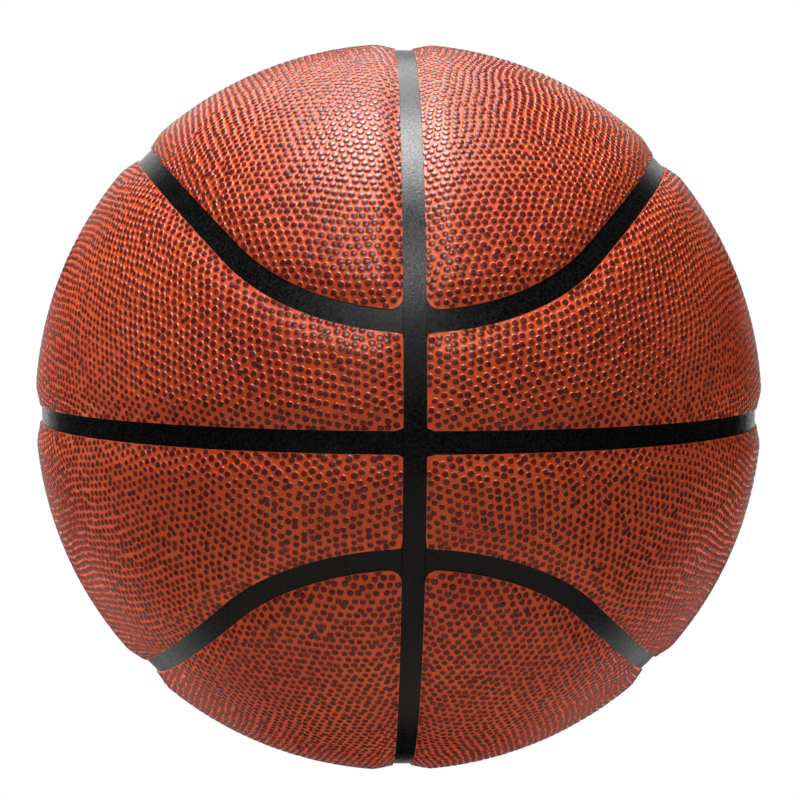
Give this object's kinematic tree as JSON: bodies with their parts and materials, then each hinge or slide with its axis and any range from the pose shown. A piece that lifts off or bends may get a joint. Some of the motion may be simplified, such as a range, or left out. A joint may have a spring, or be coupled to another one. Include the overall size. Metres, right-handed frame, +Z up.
{
  "type": "basketball",
  "caption": "Inflated game ball with pebbled leather-look cover panels, sunken black rubber channel strips between them and a replaceable needle valve.",
  "frame": {"origin": "centre of the ball", "axes": "+Z up, -Y toward the front crossing of the upright and level seams, +X to the right of the front"},
  "size_m": [0.2392, 0.2386, 0.2392],
  "materials": {
    "cover": "pebbled satin",
    "channel_rubber": "satin",
    "carcass_rubber": "matte",
    "yarn": "wound yarn",
    "bladder_rubber": "matte",
    "valve_rubber": "matte",
    "plug_rubber": "satin"
  },
  "bodies": {
    "ball": {"cap_top_right": "cover", "cap_top_left": "cover", "cap_bottom_right": "cover", "cap_bottom_left": "cover", "band_upper_right": "cover", "band_upper_left": "cover", "band_lower_right": "cover", "band_lower_left": "cover", "strip_upright": "channel_rubber", "strip_level_right": "channel_rubber", "strip_level_left": "channel_rubber", "strip_upper_right": "channel_rubber", "strip_upper_left": "channel_rubber", "strip_lower_right": "channel_rubber", "strip_lower_left": "channel_rubber", "bladder": "bladder_rubber", "winding": "yarn", "carcass": "carcass_rubber", "valve_housing": "valve_rubber"},
    "valve_plug": {"valve_plug": "plug_rubber"}
  },
  "joints": [
    {"name": "plug_pull", "type": "slide", "parent": "ball", "child": "valve_plug", "axis": [0.9239, 0, 0.3827], "range_m": [0, 0.022]}
  ]
}
